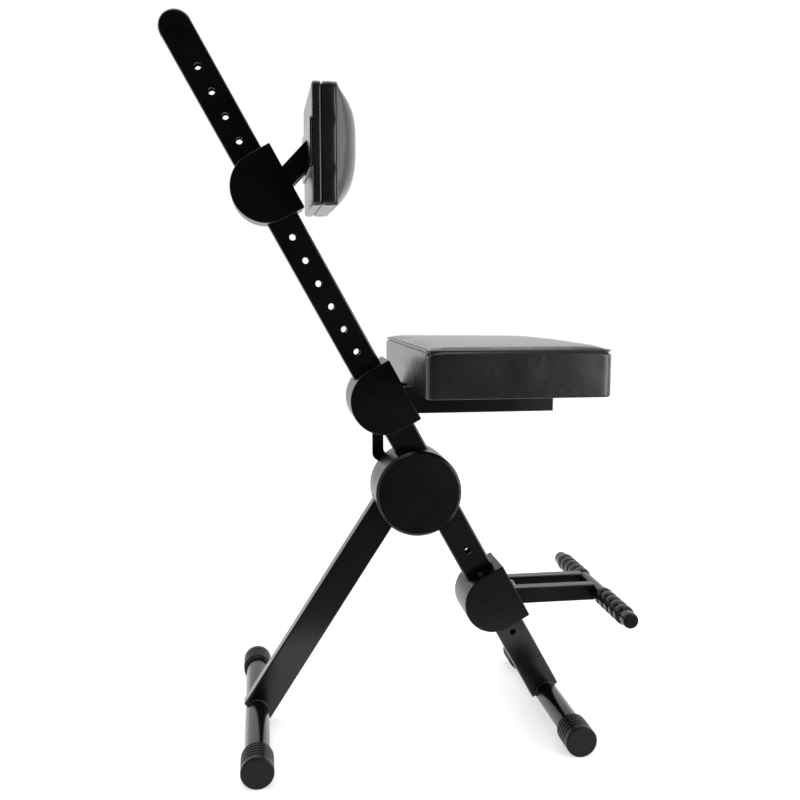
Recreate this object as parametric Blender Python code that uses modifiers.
"""A folding guitar stool: a leaning column, a rear leg, a seat, a backrest and a footrest.

The column leans back on a cross foot. Seat, backrest and footrest are carriages that slide along it,
and the rear leg folds forward about a pivot behind the column. Right is -X, left is +X, front is -Y.
"""

import math

import bmesh
import bpy
from mathutils import Matrix

# Fits shared by all pieces
CLEAR = 0.0003
RUNNING = 0.0006
OVERRUN = 0.002
MERGE = 0.00001
SHARP_ANGLE = math.radians(35)

# Directions: a piece drawn flat and seen from the side, and a round piece lying across
SIDE_ON = (math.pi / 2, 0, math.pi / 2)
TO_LEFT = (0, math.pi / 2, 0)
TO_RIGHT = (0, -math.pi / 2, 0)
TO_FRONT = (math.pi / 2, 0, 0)
SIDES = {"right": -1, "left": 1}

# Looks: colour, roughness and metallic value
POWDER_COAT = ((0.011, 0.011, 0.012, 1), 0.30, 0.0)
COVER_PLASTIC = ((0.014, 0.014, 0.015, 1), 0.48, 0.0)
FOOT_RUBBER = ((0.010, 0.010, 0.010, 1), 0.62, 0.0)
GRIP_RUBBER = ((0.012, 0.012, 0.013, 1), 0.55, 0.0)
VINYL = ((0.013, 0.013, 0.014, 1), 0.38, 0.0)
NYLON = ((0.030, 0.030, 0.032, 1), 0.55, 0.0)
ZINC = ((0.58, 0.58, 0.60, 1), 0.34, 1.0)
PLYWOOD = ((0.52, 0.36, 0.20, 1), 0.70, 0.0)

# Rectangular tube of the column and the rear leg
TUBE_DEPTH = 0.050
TUBE_WIDTH = 0.025
TUBE_WALL = 0.002
TUBE_CORNER = 0.003
COLUMN_TILT = math.radians(28.84)
COLUMN_BASE_Y = -0.2742
COLUMN_END_RISE = 0.0065
HOLE_RADIUS = 0.00525
HOLE_PITCH = 0.041
UPPER_HOLES = 15
UPPER_HOLE_RISE = 0.1625
COLUMN_END_SPARE = 0.0655
LOWER_HOLE_TOP = 0.3195
LOWER_HOLES = 5
END_CAP_LIP = 0.0003
END_CAP_PLUG = 0.016

# Cross feet: tubes with ribbed caps
FOOT_RADIUS = 0.019
FOOT_WALL = 0.002
FRONT_FOOT_LENGTH = 0.385
REAR_FOOT_LENGTH = 0.430
CAP_RADIUS = 0.0245
CAP_GROOVE_RADIUS = 0.0229
CAP_MOUTH_RADIUS = 0.0208
CAP_FACE_RADIUS = 0.0226
CAP_END = 0.0035
CAP_BAND = 0.0105
CAP_EDGE = 0.002
CAP_RIB_PITCH = 0.008
CAP_RIBS = 5
RIB_GROOVE_SHARE = 0.3

# Folding joint: the pivot lies where the column's back and the leg's front meet
PIVOT_HEIGHT = 0.4545
PIVOT_RADIUS = 0.005
PIVOT_HEAD_RADIUS = 0.0092
PIVOT_HEAD = 0.0062
PIVOT_NUT = 0.008
PIVOT_TAIL = 0.0015
BUSH_RADIUS = 0.008
PLATE = 0.003
PLATE_EYE = 0.020
LEG_LEAN = math.radians(32.76)
LEG_FOLD = math.radians(48.5)
LEG_TOP_GAP = 0.012
LEG_EYE = 0.026
LEG_PLATE_DROP = 0.046
LEG_PAD_DROP = 0.030
LEG_PLATE_INSET = 0.005
LEG_PLATE_CORNER = 0.006
JOINT_COVER_RADIUS = 0.0694
JOINT_COVER_HALF = 0.045
JOINT_COVER_WALL = 0.003
JOINT_COVER_EDGE = 0.004
JOINT_BOSS = 0.010

# Joint lock: the lever's shaft, its pawl and the notches in the left leg plate
SHAFT_BACK = 0.0097
SHAFT_RISE = 0.0384
SHAFT_RADIUS = 0.004
SHAFT_HEAD_RADIUS = 0.008
SHAFT_HEAD = 0.0045
SHAFT_TAIL = 0.002
LEVER_THICK = 0.005
LEVER_GAP = 0.0023
LEVER_WIDTH = 0.0185
LEVER_EYE = 0.011
LEVER_SHIFT = 0.0282
LEVER_TOP = 0.081
LEVER_KNEE = 0.026
TRIGGER_GRIP_WALL = 0.002
TRIGGER_GRIP_LENGTH = 0.028
NOTCHES = 3
NOTCH_DEPTH = 0.004
NOTCH_WIDTH = 0.0075
PAWL_EYE = 0.008
PAWL_WIDTH = 0.008
PAWL_TIP = 0.006

# Carriages: a nylon liner in a steel sleeve, between two half covers
LINER = 0.0025
SLEEVE_SIDE = 0.004
SLEEVE_FACE = 0.003
RAIL_WIDTH = 0.020
RAIL_WALL = 0.0015
RAIL_CORNER = 0.002
RAIL_BACK = 0.0105
COVER_SIDE = 0.0035
COVER_WALL = 0.003
COVER_EDGE = 0.0018
PIN_RADIUS = 0.004
PIN_BOSS = 0.008
PIN_HOLD = 0.012
KNOB_RADIUS = 0.0145
KNOB_NECK = 0.0095
KNOB_LENGTH = 0.017
KNOB_NECK_LENGTH = 0.005
KNOB_EDGE = 0.002

# Seat carriage
SEAT_RISE = 0.1583
SEAT_COVER_RADIUS = 0.054
SEAT_COVER_FRONT = 0.0362
SEAT_COVER_BACK_SHIFT = 0.001
SEAT_SLEEVE_LENGTH = 0.076
SEAT_PIN_HOLE = 14
SEAT_RAIL_HEIGHT = 0.0425
SEAT_RAIL_FRONT = 0.2741
SEAT_WIDTH = 0.440
SEAT_DEPTH = 0.2724
SEAT_FRONT = 0.3065
SEAT_EDGE_HEIGHT = 0.0694
SEAT_CROWN = 0.009
SEAT_CORNER = 0.010
SEAT_BOARD = 0.012
SEAT_BOARD_LIP = 0.0003
SEAT_BOARD_INSET = 0.0055
SEAT_ROLL = 0.006
PIPING = 0.003
PIPING_GROOVE = 0.0022
SIDE_DRAW = 0.0015
SEAT_COLUMN_SHARES = (0.0, 0.55)
SEAT_ROW_SHARES = (0.0, 0.6)

# Backrest carriage
BACKREST_RISE = 0.3745
BACKREST_COVER_RADIUS = 0.054
BACKREST_COVER_FRONT = 0.0365
BACKREST_SLEEVE_LENGTH = 0.076
BACKREST_PIN_HOLE = 5
BACKREST_ARM_RISE = math.radians(46.8)
BACKREST_ARM_HEIGHT = 0.0305
BACKREST_ARM_DROP = 0.0119
MOUNT_PLATE = 0.003
MOUNT_PLATE_FRONT = 0.0653
MOUNT_PLATE_LOW = 0.0211
MOUNT_PLATE_HEIGHT = 0.072
MOUNT_PLATE_CORNER = 0.008
PAD_WIDTH = 0.244
PAD_HEIGHT = 0.175
PAD_RISE = 0.0546
PAD_CORNER = 0.020
SHELL = 0.0137
SHELL_EDGE = 0.004
PAD_BAND = 0.0192
PAD_CROWN = 0.0373
PAD_DRAW = 0.0012
PAD_CUT_SHARES = (0.0, 0.33, 0.62, 0.86)
PAD_PEAK_SHARE = 0.16
PAD_FULLNESS = 2.75
PAD_STEEPNESS = 0.8

# Footrest carriage
FOOTREST_HEIGHT = 0.229
FOOTREST_COVER_RADIUS = 0.0485
FOOTREST_COVER_FRONT = 0.0366
FOOTREST_COVER_BACK_SHIFT = 0.006
FOOTREST_SLEEVE_LENGTH = 0.072
FOOTREST_PIN_HOLE = 2
FOOTREST_ARM_HEIGHT = 0.027
FOOTREST_ARM_RISE = 0.0076
FOOTREST_ARM_END = 0.0105
BAR_RADIUS = 0.0125
BAR_WALL = 0.0015
BAR_REACH = 0.178
BAR_RISE = 0.0044
BAR_LENGTH = 0.346
GRIP_RADIUS = 0.0154
GRIP_WAIST_RADIUS = 0.0141
GRIP_INNER_END = 0.046
GRIP_OUTER_END = 0.153
GRIP_BULGES = 5
GRIP_STEPS = 3
PLUG_HEAD = 0.004
PLUG_HEAD_RADIUS = 0.0121
PLUG_STEM = 0.018
PLUG_EDGE = 0.0015
CLAMP_SIDE = 0.012
CLAMP_HEAD_RADIUS = 0.0075
CLAMP_HEAD = 0.005
CLAMP_SHANK_RADIUS = 0.003

# Places that follow from the sizes above
HALF_DEPTH = TUBE_DEPTH / 2
HALF_WIDTH = TUBE_WIDTH / 2
UPPER_HOLE_TOP = PIVOT_HEIGHT + UPPER_HOLE_RISE + HOLE_PITCH * (UPPER_HOLES - 1)
COLUMN_TOP = UPPER_HOLE_TOP + COLUMN_END_SPARE
SEAT_HEIGHT = PIVOT_HEIGHT + SEAT_RISE
BACKREST_HEIGHT = SEAT_HEIGHT + BACKREST_RISE
FRONT_FOOT_UP = CAP_RADIUS / math.cos(COLUMN_TILT)
PIVOT_BACK = HALF_DEPTH + CLEAR / 2
PIVOT_Z = PIVOT_HEIGHT * math.cos(COLUMN_TILT) - PIVOT_BACK * math.sin(COLUMN_TILT)
LEG_REACH = (PIVOT_Z + PIVOT_BACK * math.sin(LEG_LEAN) - CAP_RADIUS) / math.cos(LEG_LEAN)
LEG_BELOW_BACK = math.pi / 2 - COLUMN_TILT - LEG_LEAN
COLUMN_PLATE_IN = HALF_WIDTH + CLEAR
COLUMN_PLATE_OUT = COLUMN_PLATE_IN + PLATE
LEG_PLATE_IN = COLUMN_PLATE_OUT + CLEAR
LEG_PLATE_OUT = LEG_PLATE_IN + PLATE
LINER_IN = HALF_WIDTH + CLEAR
LINER_OUT = LINER_IN + LINER
SLEEVE_IN = LINER_OUT + CLEAR
SLEEVE_OUT = SLEEVE_IN + SLEEVE_SIDE
RAIL_IN = SLEEVE_OUT + CLEAR
RAIL_OUT = RAIL_IN + RAIL_WIDTH
RAIL_MIDDLE = (RAIL_IN + RAIL_OUT) / 2
COVER_IN = RAIL_OUT + CLEAR
COVER_OUT = COVER_IN + COVER_SIDE


def clear_scene():
    """Remove whatever the scene holds."""
    for obj in list(bpy.data.objects):
        bpy.data.objects.remove(obj, do_unlink=True)


def collection(name):
    """A collection of the scene."""
    group = bpy.data.collections.new(name)
    bpy.context.scene.collection.children.link(group)
    return group


clear_scene()
STOOL = collection("guitar_stool")
CUTTERS = collection("cutters")


def frame(name, parent=None, place=(0, 0, 0), turn=(0, 0, 0)):
    """An empty that carries pieces and is placed like one."""
    empty = bpy.data.objects.new(name, None)
    STOOL.objects.link(empty)
    empty.parent = parent
    empty.location = place
    empty.rotation_euler = turn
    return empty


def paint(obj, look):
    """Give a piece its own material."""
    colour, roughness, metallic = look
    material = bpy.data.materials.new(obj.name + "_finish")
    material.use_nodes = True
    shader = material.node_tree.nodes["Principled BSDF"]
    shader.inputs["Base Color"].default_value = colour
    shader.inputs["Roughness"].default_value = roughness
    shader.inputs["Metallic"].default_value = metallic
    material.diffuse_color = colour
    obj.data.materials.append(material)


def add(name, data, parent, place, turn, look):
    """Link a piece under its frame, or a cutter when it has no look."""
    obj = bpy.data.objects.new(name, data)
    obj.parent = parent
    obj.location = place
    obj.rotation_euler = turn
    if look is None:
        CUTTERS.objects.link(obj)
        obj.hide_render = True
        obj.display_type = "WIRE"
    else:
        STOOL.objects.link(obj)
        paint(obj, look)
    return obj


def finish(name, bm, parent, place, turn, look):
    """Turn a bmesh into a smooth shaded piece."""
    mesh = bpy.data.meshes.new(name)
    bm.to_mesh(mesh)
    bm.free()
    mesh.shade_smooth()
    mesh.set_sharp_from_angle(angle=SHARP_ANGLE)
    return add(name, mesh, parent, place, turn, look)


def cut(obj, cutter):
    """Cut a piece with a cutter."""
    modifier = obj.modifiers.new("cut by " + cutter.name, "BOOLEAN")
    modifier.operation = "DIFFERENCE"
    modifier.solver = "EXACT"
    modifier.object = cutter


def join(obj, other):
    """Weld a helper body onto a piece."""
    modifier = obj.modifiers.new("joined with " + other.name, "BOOLEAN")
    modifier.operation = "UNION"
    modifier.solver = "EXACT"
    modifier.object = other


def box(name, parent, size, place, look=None, turn=(0, 0, 0), edge=0):
    """A block, with rounded edges where an edge size is given."""
    bm = bmesh.new()
    bmesh.ops.create_cube(bm, size=1)
    bmesh.ops.scale(bm, vec=size, verts=bm.verts)
    obj = finish(name, bm, parent, place, turn, look)
    if edge:
        bevel = obj.modifiers.new("rounded edges", "BEVEL")
        bevel.width = edge
        bevel.segments = 2
    return obj


def rods(name, parent, radius, length, places, look=None, turn=TO_LEFT, sides=24):
    """Equal round bars in one mesh, each with its middle at one of the places."""
    bm = bmesh.new()
    rotation = Matrix.Rotation(turn[1], 4, "Y") @ Matrix.Rotation(turn[0], 4, "X")
    for place in places:
        bmesh.ops.create_cone(
            bm,
            cap_ends=True,
            segments=sides,
            radius1=radius,
            radius2=radius,
            depth=length,
            matrix=Matrix.Translation(place) @ rotation,
        )
    return finish(name, bm, parent, (0, 0, 0), (0, 0, 0), look)


def as_mesh(curve_object):
    """Make a filled curve a closed mesh in the same place."""
    bpy.context.view_layer.update()
    graph = bpy.context.evaluated_depsgraph_get()
    mesh = bpy.data.meshes.new_from_object(curve_object.evaluated_get(graph))
    bm = bmesh.new()
    bm.from_mesh(mesh)
    bmesh.ops.remove_doubles(bm, verts=bm.verts, dist=MERGE)
    bmesh.ops.recalc_face_normals(bm, faces=bm.faces)
    bm.to_mesh(mesh)
    bm.free()
    mesh.shade_smooth()
    mesh.set_sharp_from_angle(angle=SHARP_ANGLE)
    name = curve_object.name
    parent = curve_object.parent
    world = curve_object.matrix_world.copy()
    group = curve_object.users_collection[0]
    is_cutter = curve_object.hide_render
    bpy.data.objects.remove(curve_object, do_unlink=True)
    solid = bpy.data.objects.new(name, mesh)
    group.objects.link(solid)
    solid.parent = parent
    solid.matrix_world = world
    solid.hide_render = is_cutter
    if is_cutter:
        solid.display_type = "WIRE"
    return solid


def plate(name, parent, loops, thickness, place, look=None, turn=SIDE_ON, edge=0, edge_steps=0):
    """A flat outline with its holes, thickened both ways from its middle plane."""
    curve = bpy.data.curves.new(name, "CURVE")
    curve.dimensions = "2D"
    curve.fill_mode = "BOTH"
    curve.extrude = thickness / 2 - edge
    curve.bevel_depth = edge
    curve.bevel_resolution = edge_steps
    curve.offset = -edge
    for loop in loops:
        spline = curve.splines.new("POLY")
        spline.points.add(len(loop) - 1)
        spline.use_cyclic_u = True
        for point, (across, along) in zip(spline.points, loop):
            point.co = (across, along, 0, 1)
    return as_mesh(add(name, curve, parent, place, turn, look))


def turned(name, parent, profile, place, look=None, turn=TO_LEFT, sides=24, ring=False):
    """A profile of (radius, height) points spun about its axis, outer side top to bottom."""
    bm = bmesh.new()
    verts = [bm.verts.new((radius, 0, height)) for radius, height in profile]
    for one, other in zip(verts, verts[1:]):
        bm.edges.new((one, other))
    if ring:
        bm.edges.new((verts[-1], verts[0]))
    mesh = bpy.data.meshes.new(name)
    bm.to_mesh(mesh)
    bm.free()
    obj = add(name, mesh, parent, place, turn, look)
    screw = obj.modifiers.new("spun", "SCREW")
    screw.axis = "Z"
    screw.angle = 2 * math.pi
    screw.steps = sides
    screw.render_steps = sides
    screw.use_merge_vertices = True
    screw.merge_threshold = MERGE
    screw.use_smooth_shade = True
    return obj


def arc(middle, radius, start, end, steps):
    """Points along an arc, both ends included."""
    points = []
    for step in range(steps + 1):
        angle = start + (end - start) * step / steps
        points.append((middle[0] + radius * math.cos(angle), middle[1] + radius * math.sin(angle)))
    return points


def circle(middle, radius, sides):
    """Points round a circle."""
    return arc(middle, radius, 0, 2 * math.pi * (sides - 1) / sides, sides - 1)


def rounded(half_width, half_height, corner, steps=2, middle=(0, 0)):
    """The outline of a rectangle with round corners."""
    points = []
    quarter = math.pi / 2
    for turn, (right, up) in enumerate(((1, 1), (-1, 1), (-1, -1), (1, -1))):
        centre_x = middle[0] + right * (half_width - corner)
        centre_y = middle[1] + up * (half_height - corner)
        points += arc((centre_x, centre_y), corner, turn * quarter, (turn + 1) * quarter, steps)
    return points


def rectangular_tube(name, parent, width, height, wall, corner, start, end, x, look=POWDER_COAT):
    """A rectangular tube from one (y, z) point of its frame to another."""
    run_y = end[0] - start[0]
    run_z = end[1] - start[1]
    length = math.hypot(run_y, run_z)
    outer = rounded(width / 2, height / 2, corner)
    inner = rounded(width / 2 - wall, height / 2 - wall, corner / 2, steps=1)
    middle = (x, (start[0] + end[0]) / 2, (start[1] + end[1]) / 2)
    turn = (math.atan2(-run_y, run_z), 0, 0)
    return plate(name, parent, [outer, inner], length, middle, look, turn)


# Column frame


def build_column(column):
    """The leaning tube with its two rows of holes, coped onto the front foot."""
    bottom = FRONT_FOOT_UP + COLUMN_END_RISE
    top = COLUMN_TOP - CLEAR
    tube = rectangular_tube(
        "column_tube", column, TUBE_WIDTH, TUBE_DEPTH, TUBE_WALL, TUBE_CORNER, (0, bottom), (0, top), 0
    )
    heights = [UPPER_HOLE_TOP - HOLE_PITCH * step for step in range(UPPER_HOLES)]
    heights += [LOWER_HOLE_TOP - HOLE_PITCH * step for step in range(LOWER_HOLES)]
    places = [(0, 0, height) for height in heights]
    through = TUBE_WIDTH + 2 * OVERRUN
    cut(tube, rods("column_hole_cutter", column, HOLE_RADIUS, through, places, sides=10))
    foot = [(0, 0, FRONT_FOOT_UP)]
    cut(tube, rods("column_cope_cutter", column, FOOT_RADIUS + CLEAR, through, foot, sides=32))
    pivot = [(0, PIVOT_BACK, PIVOT_HEIGHT)]
    cut(tube, rods("bush_seat_cutter", column, BUSH_RADIUS + CLEAR, through, pivot, sides=24))


def build_column_end_cap(column):
    """A half round plug that closes the column's top."""
    radius = HALF_DEPTH + END_CAP_LIP
    outline = arc((0, 0), radius, 0, math.pi, 16)
    thickness = TUBE_WIDTH + 2 * END_CAP_LIP
    place = (0, 0, COLUMN_TOP)
    cap = plate("column_end_cap", column, [outline], thickness, place, COVER_PLASTIC)
    inside = TUBE_WALL + CLEAR
    plug = rounded(HALF_WIDTH - inside, HALF_DEPTH - inside, TUBE_CORNER / 2, steps=1)
    plug_place = (0, 0, COLUMN_TOP - (END_CAP_PLUG - OVERRUN) / 2)
    plug_length = END_CAP_PLUG + OVERRUN
    join(cap, plate("column_cap_plug", column, [plug], plug_length, plug_place, turn=(0, 0, 0)))


def build_foot(name, parent, length, place, lean):
    """A cross tube with a ribbed cap on each end, square to the floor."""
    level = frame(name + "_foot_level", parent, place, (lean, 0, 0))
    middle = (0, 0, 0)
    half = length / 2
    tube_half = half - CAP_END - CLEAR
    inner = FOOT_RADIUS - FOOT_WALL
    tube_profile = [
        (FOOT_RADIUS, tube_half),
        (FOOT_RADIUS, -tube_half),
        (inner, -tube_half),
        (inner, tube_half),
    ]
    turned(name + "_foot_tube", level, tube_profile, middle, POWDER_COAT, ring=True)
    for side, sign in SIDES.items():
        band_end = half - CAP_EDGE - CAP_BAND
        profile = [(0, half), (CAP_FACE_RADIUS, half), (CAP_RADIUS, half - CAP_EDGE)]
        profile += [(CAP_RADIUS, band_end)]
        for rib in range(CAP_RIBS):
            top = band_end - rib * CAP_RIB_PITCH
            groove = CAP_RIB_PITCH * RIB_GROOVE_SHARE
            profile += [(CAP_GROOVE_RADIUS, top - groove), (CAP_RADIUS, top - CAP_RIB_PITCH + groove)]
        mouth = band_end - CAP_RIBS * CAP_RIB_PITCH
        bore = FOOT_RADIUS + CLEAR
        profile += [(CAP_MOUTH_RADIUS, mouth), (bore, mouth), (bore, half - CAP_END), (0, half - CAP_END)]
        turn = TO_LEFT if sign > 0 else TO_RIGHT
        turned(name + "_foot_cap_" + side, level, profile, middle, FOOT_RUBBER, turn, sides=18)


# Folding joint


def build_pivot(column):
    """The bush let into the column's back, with the bolt and nut through the joint."""
    place = (0, PIVOT_BACK, PIVOT_HEIGHT)
    bore = PIVOT_RADIUS + CLEAR
    bush = [(BUSH_RADIUS, HALF_WIDTH), (BUSH_RADIUS, -HALF_WIDTH), (bore, -HALF_WIDTH), (bore, HALF_WIDTH)]
    turned("pivot_bush", column, bush, place, ZINC, ring=True)
    seat = LEG_PLATE_OUT + CLEAR
    tail = seat + PIVOT_NUT + PIVOT_TAIL
    shank_length = tail + seat + PIVOT_HEAD / 2
    shank_middle = ((tail - seat - PIVOT_HEAD / 2) / 2, PIVOT_BACK, PIVOT_HEIGHT)
    bolt = rods("pivot_bolt", column, PIVOT_RADIUS, shank_length, [shank_middle], ZINC, sides=20)
    head_middle = (-seat - PIVOT_HEAD / 2, PIVOT_BACK, PIVOT_HEIGHT)
    join(bolt, rods("pivot_bolt_head", column, PIVOT_HEAD_RADIUS, PIVOT_HEAD, [head_middle], sides=6))
    nut_middle = (seat + PIVOT_NUT / 2, PIVOT_BACK, PIVOT_HEIGHT)
    nut = rods("pivot_nut", column, PIVOT_HEAD_RADIUS, PIVOT_NUT, [nut_middle], ZINC, sides=6)
    cut(nut, rods("pivot_nut_cutter", column, bore, PIVOT_NUT + OVERRUN, [nut_middle]))


def build_joint_plates(column):
    """Steel cheeks on the column's sides, with the pivot's eye and the lever shaft's eye."""
    front = -(TUBE_DEPTH - LEG_PLATE_CORNER)
    low = -(PLATE_EYE + LEG_PAD_DROP / 2)
    high = SHAFT_RISE + PAWL_EYE
    shaft = (SHAFT_BACK, SHAFT_RISE)
    outline = [(front, low), (0, low)]
    outline += arc((0, 0), PLATE_EYE, -math.pi / 4, 0, 4)
    outline += arc(shaft, PAWL_EYE + CLEAR, 0, math.pi / 2, 4)
    outline += [(front, high)]
    holes = [circle((0, 0), PIVOT_RADIUS + CLEAR, 20), circle(shaft, SHAFT_RADIUS + CLEAR, 16)]
    for side, sign in SIDES.items():
        place = (sign * (COLUMN_PLATE_IN + PLATE / 2), PIVOT_BACK, PIVOT_HEIGHT)
        plate("joint_plate_" + side, column, [outline] + holes, PLATE, place, POWDER_COAT)


def build_joint_covers(column):
    """Two round cups that meet in the middle, open where the column and the leg pass."""
    place = (0, PIVOT_BACK, PIVOT_HEIGHT)
    face_radius = JOINT_COVER_RADIUS - JOINT_COVER_EDGE
    inner_radius = JOINT_COVER_RADIUS - JOINT_COVER_WALL
    inner_half = JOINT_COVER_HALF - JOINT_COVER_WALL
    passage = HALF_WIDTH + RUNNING
    column_way = (2 * passage, TUBE_DEPTH + 2 * RUNNING, 4 * JOINT_COVER_RADIUS)
    way = box("joint_column_cutter", column, column_way, (0, 0, PIVOT_HEIGHT))
    leg_edge = -LEG_BELOW_BACK + math.asin((TUBE_DEPTH + 2 * RUNNING) / inner_radius)
    sweep = [(0, 0)] + arc((0, 0), 2 * JOINT_COVER_RADIUS, -math.pi / 2, leg_edge, 12)
    slot = plate("joint_sweep_cutter", column, [sweep], 2 * passage, place)
    cavity = rods("joint_cavity_cutter", column, inner_radius, 2 * inner_half, [place], sides=40)
    shaft_place = (0, PIVOT_BACK + SHAFT_BACK, PIVOT_HEIGHT + SHAFT_RISE)
    shaft_length = 4 * JOINT_COVER_HALF
    shaft_way = rods("joint_shaft_cutter", column, SHAFT_RADIUS + RUNNING, shaft_length, [shaft_place], sides=16)
    boss_ends = {"right": LEG_PLATE_OUT + PIVOT_HEAD + 2 * CLEAR}
    boss_ends["left"] = LEG_PLATE_OUT + PIVOT_NUT + PIVOT_TAIL + 2 * CLEAR
    for side, sign in SIDES.items():
        profile = [
            (0, JOINT_COVER_HALF),
            (face_radius, JOINT_COVER_HALF),
            (JOINT_COVER_RADIUS, JOINT_COVER_HALF - JOINT_COVER_EDGE),
            (JOINT_COVER_RADIUS, CLEAR / 2),
            (0, CLEAR / 2),
        ]
        turn = TO_LEFT if sign > 0 else TO_RIGHT
        cover = turned("joint_cover_" + side, column, profile, place, COVER_PLASTIC, turn, sides=40)
        for cutter in (cavity, way, slot):
            cut(cover, cutter)
        boss_length = inner_half - boss_ends[side] + OVERRUN / 2
        boss_middle = (sign * (boss_ends[side] + boss_length / 2), PIVOT_BACK, PIVOT_HEIGHT)
        join(cover, rods("joint_boss_" + side, column, JOINT_BOSS, boss_length, [boss_middle], sides=16))
        if sign > 0:
            cut(cover, shaft_way)


# Rear leg


def build_leg(leg):
    """The leg's tube, coped onto the rear foot."""
    middle = PIVOT_BACK
    start = (middle, -LEG_REACH)
    end = (middle, -LEG_TOP_GAP)
    tube = rectangular_tube(
        "rear_leg_tube", leg, TUBE_WIDTH, TUBE_DEPTH, TUBE_WALL, TUBE_CORNER, start, end, 0
    )
    foot = [(0, middle, -LEG_REACH)]
    through = TUBE_WIDTH + 2 * OVERRUN
    cut(tube, rods("leg_cope_cutter", leg, FOOT_RADIUS + CLEAR, through, foot, sides=32))
    build_foot("rear", leg, REAR_FOOT_LENGTH, foot[0], -LEG_LEAN)


def build_leg_plates(leg):
    """Joggled steel eyes on the leg's sides, the left one with the lock's notches."""
    near = LEG_PLATE_INSET
    far = TUBE_DEPTH - LEG_PLATE_INSET
    corner = LEG_PLATE_CORNER
    low = -LEG_PLATE_DROP
    quarter = math.pi / 2
    outline = arc((0, 0), LEG_EYE, 0, math.pi * 1.25, 20)
    outline += arc((near + corner, low + corner), corner, math.pi, 3 * quarter, 3)
    outline += arc((far - corner, low + corner), corner, -quarter, 0, 3)
    outline += [(far, -LEG_TOP_GAP - corner)]
    hole = circle((0, 0), PIVOT_RADIUS + CLEAR, 20)
    pad_high = -LEG_PAD_DROP
    pad_size = (PLATE + CLEAR + PLATE / 2, far - near - 2 * corner, pad_high - low - 2 * CLEAR)
    for side, sign in SIDES.items():
        place = (sign * (LEG_PLATE_IN + PLATE / 2), 0, 0)
        eye = plate("leg_plate_" + side, leg, [outline, hole], PLATE, place, POWDER_COAT)
        pad_x = sign * (COLUMN_PLATE_IN + pad_size[0] / 2)
        pad_place = (pad_x, (near + far) / 2, (pad_high + low) / 2)
        join(eye, box("leg_pad_" + side, leg, pad_size, pad_place))
        if sign > 0:
            cut(eye, build_notches(leg))


def build_notches(leg):
    """Wedges that cut the lock's notches, one for each angle at which the leg is held."""
    bm = bmesh.new()
    for notch in range(NOTCHES):
        angle = PAWL_ANGLE - COLUMN_TILT - LEG_LEAN + LEG_FOLD * notch / (NOTCHES - 1)
        radius = LEG_EYE - NOTCH_DEPTH / 2 + OVERRUN / 2
        place = Matrix.Translation((LEG_PLATE_IN + PLATE / 2, 0, 0))
        turn = Matrix.Rotation(angle, 4, "X")
        reach = Matrix.Translation((0, radius, 0))
        scale = Matrix.Diagonal((PLATE + 2 * CLEAR, NOTCH_DEPTH + OVERRUN, NOTCH_WIDTH, 1))
        bmesh.ops.create_cube(bm, size=1, matrix=place @ turn @ reach @ scale)
    return finish("notch_cutter", bm, leg, (0, 0, 0), (0, 0, 0), None)


# Joint lock


def build_trigger(trigger):
    """The shaft, the dog-leg lever with its grip, and the pawl over the notches."""
    lever_in = JOINT_COVER_HALF + LEVER_GAP
    lever_out = lever_in + LEVER_THICK
    head_seat = lever_out + CLEAR
    tail = -(COLUMN_PLATE_OUT + SHAFT_TAIL)
    shaft = [
        (0, head_seat + SHAFT_HEAD),
        (SHAFT_HEAD_RADIUS, head_seat + SHAFT_HEAD),
        (SHAFT_HEAD_RADIUS, head_seat),
        (SHAFT_RADIUS, head_seat),
        (SHAFT_RADIUS, tail),
        (0, tail),
    ]
    turned("trigger_shaft", trigger, shaft, (0, 0, 0), ZINC, sides=20)
    level = frame("lever_level", trigger, turn=(COLUMN_TILT, 0, 0))
    half = LEVER_WIDTH / 2
    back = LEVER_SHIFT + half
    front = LEVER_SHIFT - half
    quarter = math.pi / 2
    outline = arc((0, 0), LEVER_EYE, math.pi * 0.7, math.pi * 1.6, 10)
    outline += [(back, LEVER_KNEE - LEVER_WIDTH / 2)]
    outline += arc((LEVER_SHIFT, LEVER_TOP), half, 0, 2 * quarter, 8)
    outline += [(front, LEVER_KNEE)]
    hole = circle((0, 0), SHAFT_RADIUS + CLEAR, 16)
    place = (lever_in + LEVER_THICK / 2, 0, 0)
    plate("trigger_lever", level, [outline, hole], LEVER_THICK, place, POWDER_COAT)
    wall = TRIGGER_GRIP_WALL + CLEAR
    top = LEVER_TOP + half + wall
    grip_size = (LEVER_THICK + 2 * wall, LEVER_WIDTH + 2 * wall, TRIGGER_GRIP_LENGTH)
    grip_place = (place[0], LEVER_SHIFT, top - TRIGGER_GRIP_LENGTH / 2)
    grip = box("trigger_grip", level, grip_size, grip_place, COVER_PLASTIC, edge=TRIGGER_GRIP_WALL / 2)
    pocket_size = (LEVER_THICK + 2 * CLEAR, LEVER_WIDTH + 2 * CLEAR, TRIGGER_GRIP_LENGTH)
    pocket_place = (place[0], LEVER_SHIFT, grip_place[2] - TRIGGER_GRIP_WALL)
    cut(grip, box("grip_pocket_cutter", level, pocket_size, pocket_place))
    build_pawl(trigger)


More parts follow.
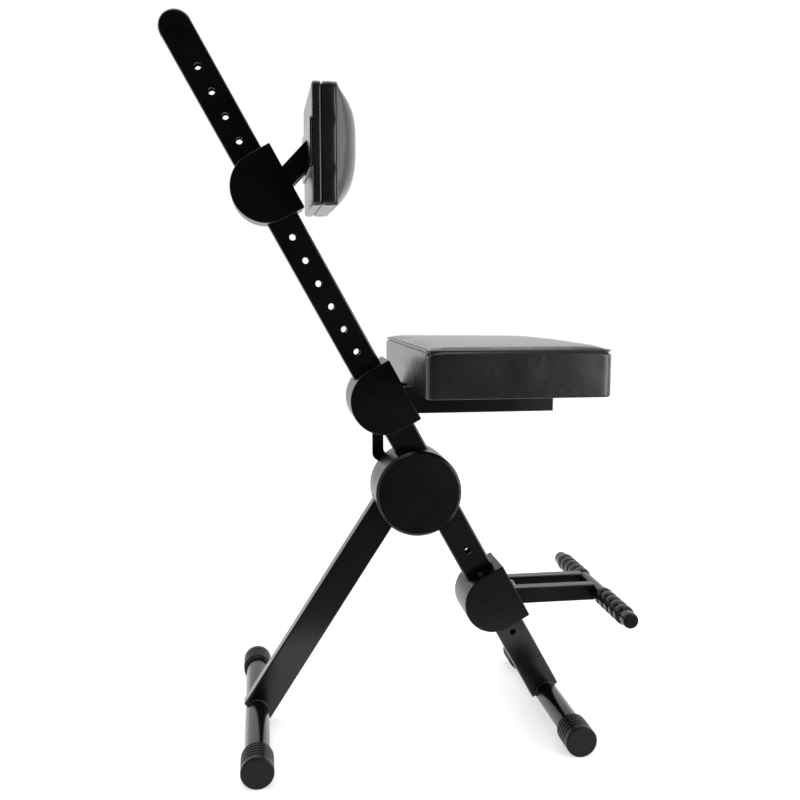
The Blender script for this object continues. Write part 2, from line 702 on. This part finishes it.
def build_pawl(trigger):
    """A flat pawl whose tooth hangs over the notches, square to the leg plate's rim."""
    arm = PAWL_REACH
    foot = PAWL_TIP / 2
    rise = NOTCH_DEPTH
    outline = [(-arm - foot, 0), (-arm + foot, 0), (-arm + PAWL_TIP, rise), (-PAWL_EYE, rise)]
    outline += arc((0, 0), PAWL_EYE, -0.8 * math.pi, 0.6 * math.pi, 12)
    outline += [(-arm + PAWL_TIP, rise + PAWL_WIDTH), (-arm - PAWL_TIP, rise + PAWL_WIDTH)]
    outline += [(-arm - PAWL_TIP, rise)]
    hole = circle((0, 0), SHAFT_RADIUS + CLEAR, 16)
    tilt = frame("pawl_tilt", trigger, turn=(PAWL_ANGLE - math.pi / 2, 0, 0))
    place = (LEG_PLATE_IN + PLATE / 2, 0, 0)
    plate("lock_pawl", tilt, [outline, hole], PLATE, place, ZINC)


# Carriages


def build_sleeve(name, carriage, length, pin_rise):
    """The steel sleeve with the plunger's boss, and its nylon liner."""
    place = (0, 0, 0)
    liner_y = HALF_DEPTH + CLEAR + LINER
    corner = TUBE_CORNER + CLEAR
    liner_outer = rounded(LINER_OUT, liner_y, corner + LINER)
    liner_inner = rounded(LINER_IN, HALF_DEPTH + CLEAR, corner)
    flat = (0, 0, 0)
    liner = plate(name + "_liner", carriage, [liner_outer, liner_inner], length, place, NYLON, flat)
    inner_y = liner_y + CLEAR
    outer_y = inner_y + SLEEVE_FACE
    outer = rounded(SLEEVE_OUT, outer_y, corner + LINER + CLEAR)
    inner = rounded(SLEEVE_IN, inner_y, corner + LINER + CLEAR)
    sleeve = plate(name + "_sleeve", carriage, [outer, inner], length, place, POWDER_COAT, flat)
    boss_in = SLEEVE_IN + SLEEVE_SIDE / 2
    boss_length = COVER_IN - CLEAR - boss_in
    boss_place = (boss_in + boss_length / 2, 0, pin_rise)
    join(sleeve, rods(name + "_boss", carriage, PIN_BOSS, boss_length, [boss_place], sides=20))
    way_length = COVER_OUT - HALF_WIDTH
    way_place = (HALF_WIDTH + way_length / 2, 0, pin_rise)
    way = rods(name + "_pin_cutter", carriage, PIN_RADIUS + CLEAR, way_length, [way_place], sides=16)
    cut(sleeve, way)
    cut(liner, way)
    return sleeve


def build_covers(name, carriage, radius, front, back_shift, pin_rise):
    """Two half covers, round behind and square in front, round the sleeve and the rails."""
    quarter = math.pi / 2

    def outline(inset):
        size = radius - inset
        points = arc((back_shift, 0), size, -quarter, quarter, 16)
        return points + [(inset - front, size), (inset - front, -size)]

    cavity = plate(name + "_cavity_cutter", carriage, [outline(COVER_WALL)], 2 * COVER_IN, (0, 0, 0))
    way_size = (TUBE_WIDTH + 2 * RUNNING, TUBE_DEPTH + 2 * RUNNING, 4 * radius)
    way = box(name + "_column_cutter", carriage, way_size, (0, 0, 0))
    pin_length = 4 * COVER_OUT
    pin_place = (pin_length / 2, 0, pin_rise)
    pin = rods(name + "_cover_pin_cutter", carriage, PIN_RADIUS + RUNNING, pin_length, [pin_place], sides=16)
    covers = []
    for side, sign in SIDES.items():
        half_size = (COVER_OUT + OVERRUN, 4 * radius, 4 * radius)
        half_place = (-sign * (half_size[0] - CLEAR) / 2, 0, 0)
        other_half = box(name + "_half_cutter_" + side, carriage, half_size, half_place)
        cover = plate(
            name + "_cover_" + side,
            carriage,
            [outline(0)],
            2 * COVER_OUT,
            (0, 0, 0),
            COVER_PLASTIC,
            edge=COVER_EDGE,
            edge_steps=1,
        )
        for cutter in (cavity, way, other_half):
            cut(cover, cutter)
        if sign > 0:
            cut(cover, pin)
        covers.append(cover)
    return covers


def build_lock(name, lock):
    """The pull plunger on the left: a pin that stops short of the column, and its knob."""
    tip = HALF_WIDTH + CLEAR
    knob_in = COVER_OUT + CLEAR
    pin_length = knob_in + PIN_HOLD - tip
    pin_place = (tip + pin_length / 2, 0, 0)
    rods(name + "_lock_pin", lock, PIN_RADIUS, pin_length, [pin_place], ZINC, sides=16)
    bore = PIN_RADIUS + CLEAR
    head = knob_in + KNOB_NECK_LENGTH
    end = knob_in + KNOB_LENGTH
    blind = knob_in + PIN_HOLD + CLEAR
    profile = [
        (0, end),
        (KNOB_RADIUS - KNOB_EDGE, end),
        (KNOB_RADIUS, end - KNOB_EDGE),
        (KNOB_RADIUS, head + KNOB_EDGE),
        (KNOB_NECK, head),
        (KNOB_NECK, knob_in),
        (bore, knob_in),
        (bore, blind),
        (0, blind),
    ]
    turned(name + "_lock_knob", lock, profile, (0, 0, 0), COVER_PLASTIC, sides=20)


def cage(name, parent, half_x, half_y, columns, rows, levels, place, turn, shape, look, smooth):
    """A block with loops at the given places, shaped point by point and then subdivided."""
    low = levels[0]
    high = levels[-1]
    bm = bmesh.new()
    bmesh.ops.create_cube(bm, size=1)
    bmesh.ops.scale(bm, vec=(2 * half_x, 2 * half_y, high - low), verts=bm.verts)
    bmesh.ops.translate(bm, vec=(0, 0, (high + low) / 2), verts=bm.verts)
    slices = [((x, 0, 0), (1, 0, 0)) for x in columns]
    slices += [((0, y, 0), (0, 1, 0)) for y in rows]
    slices += [((0, 0, z), (0, 0, 1)) for z in levels[1:-1]]
    for point, normal in slices:
        everything = bm.verts[:] + bm.edges[:] + bm.faces[:]
        bmesh.ops.bisect_plane(bm, geom=everything, dist=MERGE, plane_co=point, plane_no=normal)
    for vert in bm.verts:
        vert.co = shape(vert.co)
    obj = finish(name, bm, parent, place, turn, look)
    subdivision = obj.modifiers.new("soft form", "SUBSURF")
    subdivision.levels = smooth
    subdivision.render_levels = smooth
    return obj


def both_ways(shares, half):
    """Cut places on both sides of the middle, from shares of a half size."""
    places = {share * half for share in shares}
    return sorted(places | {-place for place in places})


# Seat


def build_seat(carriage):
    """Rails, board and cushion of the seat, level with the floor."""
    level = frame("seat_level", carriage, turn=(COLUMN_TILT, 0, 0))
    way_size = (4 * COVER_OUT, TUBE_DEPTH + SEAT_COVER_RADIUS, 4 * SEAT_COVER_RADIUS)
    back_cutter = box("seat_rail_back_cutter", carriage, way_size, (0, way_size[1] / 2 - RAIL_BACK, 0))
    covers = build_covers(
        "seat", carriage, SEAT_COVER_RADIUS, SEAT_COVER_FRONT, SEAT_COVER_BACK_SHIFT, SEAT_PIN_RISE
    )
    start = (SEAT_COVER_RADIUS, 0)
    end = (-SEAT_RAIL_FRONT, 0)
    for cover, (side, sign) in zip(covers, SIDES.items()):
        x = sign * RAIL_MIDDLE
        rail = rectangular_tube(
            "seat_rail_" + side, level, RAIL_WIDTH, SEAT_RAIL_HEIGHT, RAIL_WALL, RAIL_CORNER, start, end, x
        )
        cut(rail, back_cutter)
        gate_size = (RAIL_WIDTH + 2 * CLEAR, 2 * SEAT_RAIL_FRONT, SEAT_RAIL_HEIGHT + 2 * RUNNING)
        gate_place = (x, -SEAT_RAIL_FRONT, 0)
        cut(cover, box("seat_gate_cutter_" + side, level, gate_size, gate_place))
    board_low = SEAT_RAIL_HEIGHT / 2 + CLEAR
    board_size = (SEAT_WIDTH - 2 * SEAT_BOARD_INSET, SEAT_DEPTH - 2 * SEAT_BOARD_INSET, SEAT_BOARD)
    middle_y = -SEAT_FRONT + SEAT_DEPTH / 2
    box("seat_board", level, board_size, (0, middle_y, board_low + SEAT_BOARD / 2), PLYWOOD)
    build_seat_cushion(level, middle_y, board_low, board_size)


def build_seat_cushion(level, middle_y, board_low, board_size):
    """A thin box cushion with a low crown and a piped top edge, hollowed for its board."""
    half_x = SEAT_WIDTH / 2
    half_y = SEAT_DEPTH / 2
    top = SEAT_EDGE_HEIGHT
    levels = [0, SEAT_ROLL, top / 2, top - 2 * PIPING - PIPING_GROOVE, top - PIPING, top]
    insets = [2 * SIDE_DRAW, SIDE_DRAW, 0, PIPING_GROOVE + SIDE_DRAW, 0, PIPING + PIPING_GROOVE]
    columns = both_ways(SEAT_COLUMN_SHARES, half_x) + [PIPING * 3 - half_x, half_x - PIPING * 3]
    rows = both_ways(SEAT_ROW_SHARES, half_y) + [PIPING * 3 - half_y, half_y - PIPING * 3]

    def shape(point):
        x, y, z = point
        nearest = min(range(len(levels)), key=lambda step: abs(levels[step] - z))
        u = x / half_x
        v = y / half_y
        inset = insets[nearest]
        pull = SEAT_CORNER * (1 - math.sqrt(0.5)) * (u * v) ** 40
        x = u * (half_x - inset) - math.copysign(pull, u)
        y = v * (half_y - inset) - math.copysign(pull, v)
        if nearest == len(levels) - 1:
            z += SEAT_CROWN * math.sqrt(max(1 - u * u, 0) * max(1 - v * v, 0))
        return (x, y, z)

    place = (0, middle_y, board_low + SEAT_BOARD_LIP)
    cushion = cage(
        "seat_cushion", level, half_x, half_y, columns, rows, levels, place, (0, 0, 0), shape, VINYL, 1
    )
    pocket_size = (board_size[0] + 2 * CLEAR, board_size[1] + 2 * CLEAR, 2 * SEAT_BOARD + 2 * CLEAR)
    cut(cushion, box("seat_pocket_cutter", level, pocket_size, (0, middle_y, board_low)))


# Backrest


def build_backrest(carriage):
    """Arms, mount plate, shell and domed cushion of the backrest."""
    level = frame("backrest_level", carriage, turn=(COLUMN_TILT, 0, 0))
    covers = build_covers(
        "backrest", carriage, BACKREST_COVER_RADIUS, BACKREST_COVER_FRONT, 0, BACKREST_PIN_RISE
    )
    reach = 3 * BACKREST_COVER_RADIUS
    back_size = (4 * COVER_OUT, reach, 2 * reach)
    back_cutter = box("backrest_arm_back_cutter", carriage, back_size, (0, reach / 2 - RAIL_BACK, 0))
    plate_back = -(MOUNT_PLATE_FRONT - MOUNT_PLATE)
    front_size = (4 * COVER_OUT, reach, 4 * reach)
    front_place = (0, plate_back + CLEAR - reach / 2, 0)
    front_cutter = box("backrest_arm_front_cutter", level, front_size, front_place)
    cosine = math.cos(BACKREST_ARM_RISE)
    sine = math.sin(BACKREST_ARM_RISE)
    drop_y = -BACKREST_ARM_DROP * sine
    drop_z = -BACKREST_ARM_DROP * cosine
    start = (drop_y + cosine * BACKREST_COVER_RADIUS, drop_z - sine * BACKREST_COVER_RADIUS)
    end = (drop_y - cosine * reach, drop_z + sine * reach)
    for cover, (side, sign) in zip(covers, SIDES.items()):
        x = sign * RAIL_MIDDLE
        arm = rectangular_tube(
            "backrest_arm_" + side, level, RAIL_WIDTH, BACKREST_ARM_HEIGHT, RAIL_WALL, RAIL_CORNER, start, end, x
        )
        cut(arm, back_cutter)
        cut(arm, front_cutter)
        gate_size = (RAIL_WIDTH + 2 * CLEAR, BACKREST_ARM_HEIGHT + 2 * RUNNING, reach)
        gate_place = (x, drop_y - cosine * reach / 2, drop_z + sine * reach / 2)
        gate_turn = (math.pi / 2 - BACKREST_ARM_RISE, 0, 0)
        cut(cover, box("backrest_gate_cutter_" + side, level, gate_size, gate_place, turn=gate_turn))
    build_mount_plate(level, plate_back)
    build_pad(level)


def build_mount_plate(level, plate_back):
    """The flat plate that the arms carry, behind the pad."""
    outline = rounded(PAD_WIDTH / 2, MOUNT_PLATE_HEIGHT / 2, MOUNT_PLATE_CORNER, steps=3)
    place = (0, plate_back - MOUNT_PLATE / 2, MOUNT_PLATE_LOW + MOUNT_PLATE_HEIGHT / 2)
    plate("backrest_mount_plate", level, [outline], MOUNT_PLATE, place, POWDER_COAT, turn=TO_FRONT)


def build_pad(level):
    """The upholstered back board, and the cushion with its drawn-in edge and high crown."""
    shell_back = -MOUNT_PLATE_FRONT - CLEAR
    outline = rounded(PAD_WIDTH / 2, PAD_HEIGHT / 2, PAD_CORNER, steps=5)
    place = (0, shell_back - SHELL / 2, PAD_RISE)
    plate("backrest_shell", level, [outline], SHELL, place, VINYL, TO_FRONT, SHELL_EDGE, 1)
    half_x = PAD_WIDTH / 2
    half_y = PAD_HEIGHT / 2
    levels = [0, PAD_BAND / 2, PAD_BAND]
    insets = [PAD_DRAW, 0, PAD_DRAW]
    columns = both_ways(PAD_CUT_SHARES, half_x)
    rows = both_ways(PAD_CUT_SHARES, half_y)

    def dome(share):
        return max(1 - abs(share) ** PAD_FULLNESS, 0) ** PAD_STEEPNESS

    def shape(point):
        x, y, z = point
        nearest = min(range(3), key=lambda step: abs(levels[step] - z))
        u = x / half_x
        v = y / half_y
        pull = PAD_CORNER * (1 - math.sqrt(0.5)) * (u * v) ** 40
        x = u * (half_x - insets[nearest]) - math.copysign(pull, u)
        y = v * (half_y - insets[nearest]) - math.copysign(pull, v)
        if nearest == 2:
            z += PAD_CROWN * dome(u) * dome(v - PAD_PEAK_SHARE * (1 - v * v))
        return (x, y, z)

    face = (0, shell_back - SHELL - CLEAR, PAD_RISE)
    cage(
        "backrest_cushion", level, half_x, half_y, columns, rows, levels, face, TO_FRONT, shape, VINYL, 1
    )


# Footrest


def build_footrest(carriage):
    """Arms, bar, grips and plugs of the footrest."""
    level = frame("footrest_level", carriage, turn=(COLUMN_TILT, 0, 0))
    covers = build_covers(
        "footrest",
        carriage,
        FOOTREST_COVER_RADIUS,
        FOOTREST_COVER_FRONT,
        FOOTREST_COVER_BACK_SHIFT,
        FOOTREST_PIN_RISE,
    )
    reach = 3 * FOOTREST_COVER_RADIUS
    back_size = (4 * COVER_OUT, reach, 2 * reach)
    back_cutter = box("footrest_arm_back_cutter", carriage, back_size, (0, reach / 2 - RAIL_BACK, 0))
    bar_place = (0, -BAR_REACH, BAR_RISE)
    bar_cutter = rods("bar_seat_cutter", level, BAR_RADIUS + CLEAR, 4 * COVER_OUT, [bar_place], sides=24)
    start = (FOOTREST_COVER_RADIUS, FOOTREST_ARM_RISE)
    end = (-BAR_REACH + FOOTREST_ARM_END, FOOTREST_ARM_RISE)
    for cover, (side, sign) in zip(covers, SIDES.items()):
        x = sign * RAIL_MIDDLE
        arm = rectangular_tube(
            "footrest_arm_" + side, level, RAIL_WIDTH, FOOTREST_ARM_HEIGHT, RAIL_WALL, RAIL_CORNER, start, end, x
        )
        cut(arm, back_cutter)
        cut(arm, bar_cutter)
        gate_size = (RAIL_WIDTH + 2 * CLEAR, 2 * BAR_REACH, FOOTREST_ARM_HEIGHT + 2 * RUNNING)
        gate_place = (x, -BAR_REACH, FOOTREST_ARM_RISE)
        cut(cover, box("footrest_gate_cutter_" + side, level, gate_size, gate_place))
    build_bar(level, bar_place)
    build_clamp_bolt(carriage, covers[0])


def build_bar(level, place):
    """The round cross bar with its ribbed grips and end plugs."""
    half = BAR_LENGTH / 2 - PLUG_HEAD - CLEAR
    inner = BAR_RADIUS - BAR_WALL
    profile = [(BAR_RADIUS, half), (BAR_RADIUS, -half), (inner, -half), (inner, half)]
    turned("footrest_bar", level, profile, place, POWDER_COAT, sides=20, ring=True)
    bore = BAR_RADIUS + CLEAR
    swell = GRIP_RADIUS - GRIP_WAIST_RADIUS
    length = GRIP_OUTER_END - GRIP_INNER_END
    for side, sign in SIDES.items():
        turn = TO_LEFT if sign > 0 else TO_RIGHT
        outside = []
        for step in range(GRIP_BULGES * GRIP_STEPS + 1):
            share = step / (GRIP_BULGES * GRIP_STEPS)
            radius = GRIP_WAIST_RADIUS + swell * abs(math.sin(math.pi * GRIP_BULGES * share))
            outside.append((radius, GRIP_OUTER_END - length * share))
        grip = outside + [(bore, GRIP_INNER_END), (bore, GRIP_OUTER_END)]
        turned("footrest_grip_" + side, level, grip, place, GRIP_RUBBER, turn, sides=20, ring=True)
        stem = inner - CLEAR
        end = BAR_LENGTH / 2
        plug = [
            (0, end),
            (PLUG_HEAD_RADIUS - PLUG_EDGE, end),
            (PLUG_HEAD_RADIUS, end - PLUG_EDGE),
            (PLUG_HEAD_RADIUS, end - PLUG_HEAD),
            (stem, end - PLUG_HEAD),
            (stem, end - PLUG_HEAD - PLUG_STEM),
            (0, end - PLUG_HEAD - PLUG_STEM),
        ]
        turned("footrest_plug_" + side, level, plug, place, COVER_PLASTIC, turn, sides=20)


def build_clamp_bolt(carriage, cover):
    """The bolt in the bracket's front face, between the arms."""
    sleeve_front = HALF_DEPTH + 2 * CLEAR + LINER + SLEEVE_FACE
    tip = sleeve_front + CLEAR
    seat = FOOTREST_COVER_FRONT + CLEAR
    profile = [
        (0, seat + CLAMP_HEAD),
        (CLAMP_HEAD_RADIUS, seat + CLAMP_HEAD),
        (CLAMP_HEAD_RADIUS, seat),
        (CLAMP_SHANK_RADIUS, seat),
        (CLAMP_SHANK_RADIUS, tip),
        (0, tip),
    ]
    place = (-CLAMP_SIDE, 0, 0)
    turned("footrest_clamp_bolt", carriage, profile, place, ZINC, TO_FRONT, sides=16)
    middle = (-CLAMP_SIDE, -seat, 0)
    length = 4 * COVER_WALL
    radius = CLAMP_SHANK_RADIUS + CLEAR
    cut(cover, rods("clamp_cutter", carriage, radius, length, [middle], turn=TO_FRONT, sides=16))


# Where the lock's pawl meets the leg plate, worked out from its shaft
SHAFT_DISTANCE = math.hypot(SHAFT_BACK, SHAFT_RISE)
TOOTH_RADIUS = LEG_EYE + CLEAR
PAWL_REACH = math.sqrt(SHAFT_DISTANCE ** 2 - TOOTH_RADIUS ** 2)
PAWL_ANGLE = math.atan2(SHAFT_RISE, SHAFT_BACK) + math.acos(TOOTH_RADIUS / SHAFT_DISTANCE)

# How far each plunger's hole lies above its carriage's middle
SEAT_PIN_RISE = UPPER_HOLE_TOP - HOLE_PITCH * SEAT_PIN_HOLE - SEAT_HEIGHT
BACKREST_PIN_RISE = UPPER_HOLE_TOP - HOLE_PITCH * BACKREST_PIN_HOLE - BACKREST_HEIGHT
FOOTREST_PIN_RISE = LOWER_HOLE_TOP - HOLE_PITCH * FOOTREST_PIN_HOLE - FOOTREST_HEIGHT

# The whole stool
column_axis = frame("column_axis", place=(0, COLUMN_BASE_Y, 0), turn=(-COLUMN_TILT, 0, 0))
build_column(column_axis)
build_column_end_cap(column_axis)
build_foot("front", column_axis, FRONT_FOOT_LENGTH, (0, 0, FRONT_FOOT_UP), COLUMN_TILT)
build_pivot(column_axis)
build_joint_plates(column_axis)
build_joint_covers(column_axis)

leg_turn = (COLUMN_TILT + LEG_LEAN, 0, 0)
leg_axis = frame("leg_axis", column_axis, (0, PIVOT_BACK, PIVOT_HEIGHT), leg_turn)
build_leg(leg_axis)
build_leg_plates(leg_axis)

trigger_place = (0, PIVOT_BACK + SHAFT_BACK, PIVOT_HEIGHT + SHAFT_RISE)
trigger_axis = frame("trigger_axis", column_axis, trigger_place)
build_trigger(trigger_axis)

seat_carriage = frame("seat_carriage", column_axis, (0, 0, SEAT_HEIGHT))
build_sleeve("seat", seat_carriage, SEAT_SLEEVE_LENGTH, SEAT_PIN_RISE)
build_seat(seat_carriage)
build_lock("seat", frame("seat_lock", seat_carriage, (0, 0, SEAT_PIN_RISE)))

backrest_carriage = frame("backrest_carriage", column_axis, (0, 0, BACKREST_HEIGHT))
build_sleeve("backrest", backrest_carriage, BACKREST_SLEEVE_LENGTH, BACKREST_PIN_RISE)
build_backrest(backrest_carriage)
build_lock("backrest", frame("backrest_lock", backrest_carriage, (0, 0, BACKREST_PIN_RISE)))

footrest_carriage = frame("footrest_carriage", column_axis, (0, 0, FOOTREST_HEIGHT))
build_sleeve("footrest", footrest_carriage, FOOTREST_SLEEVE_LENGTH, FOOTREST_PIN_RISE)
build_footrest(footrest_carriage)
build_lock("footrest", frame("footrest_lock", footrest_carriage, (0, 0, FOOTREST_PIN_RISE)))
bpy.context.view_layer.update()
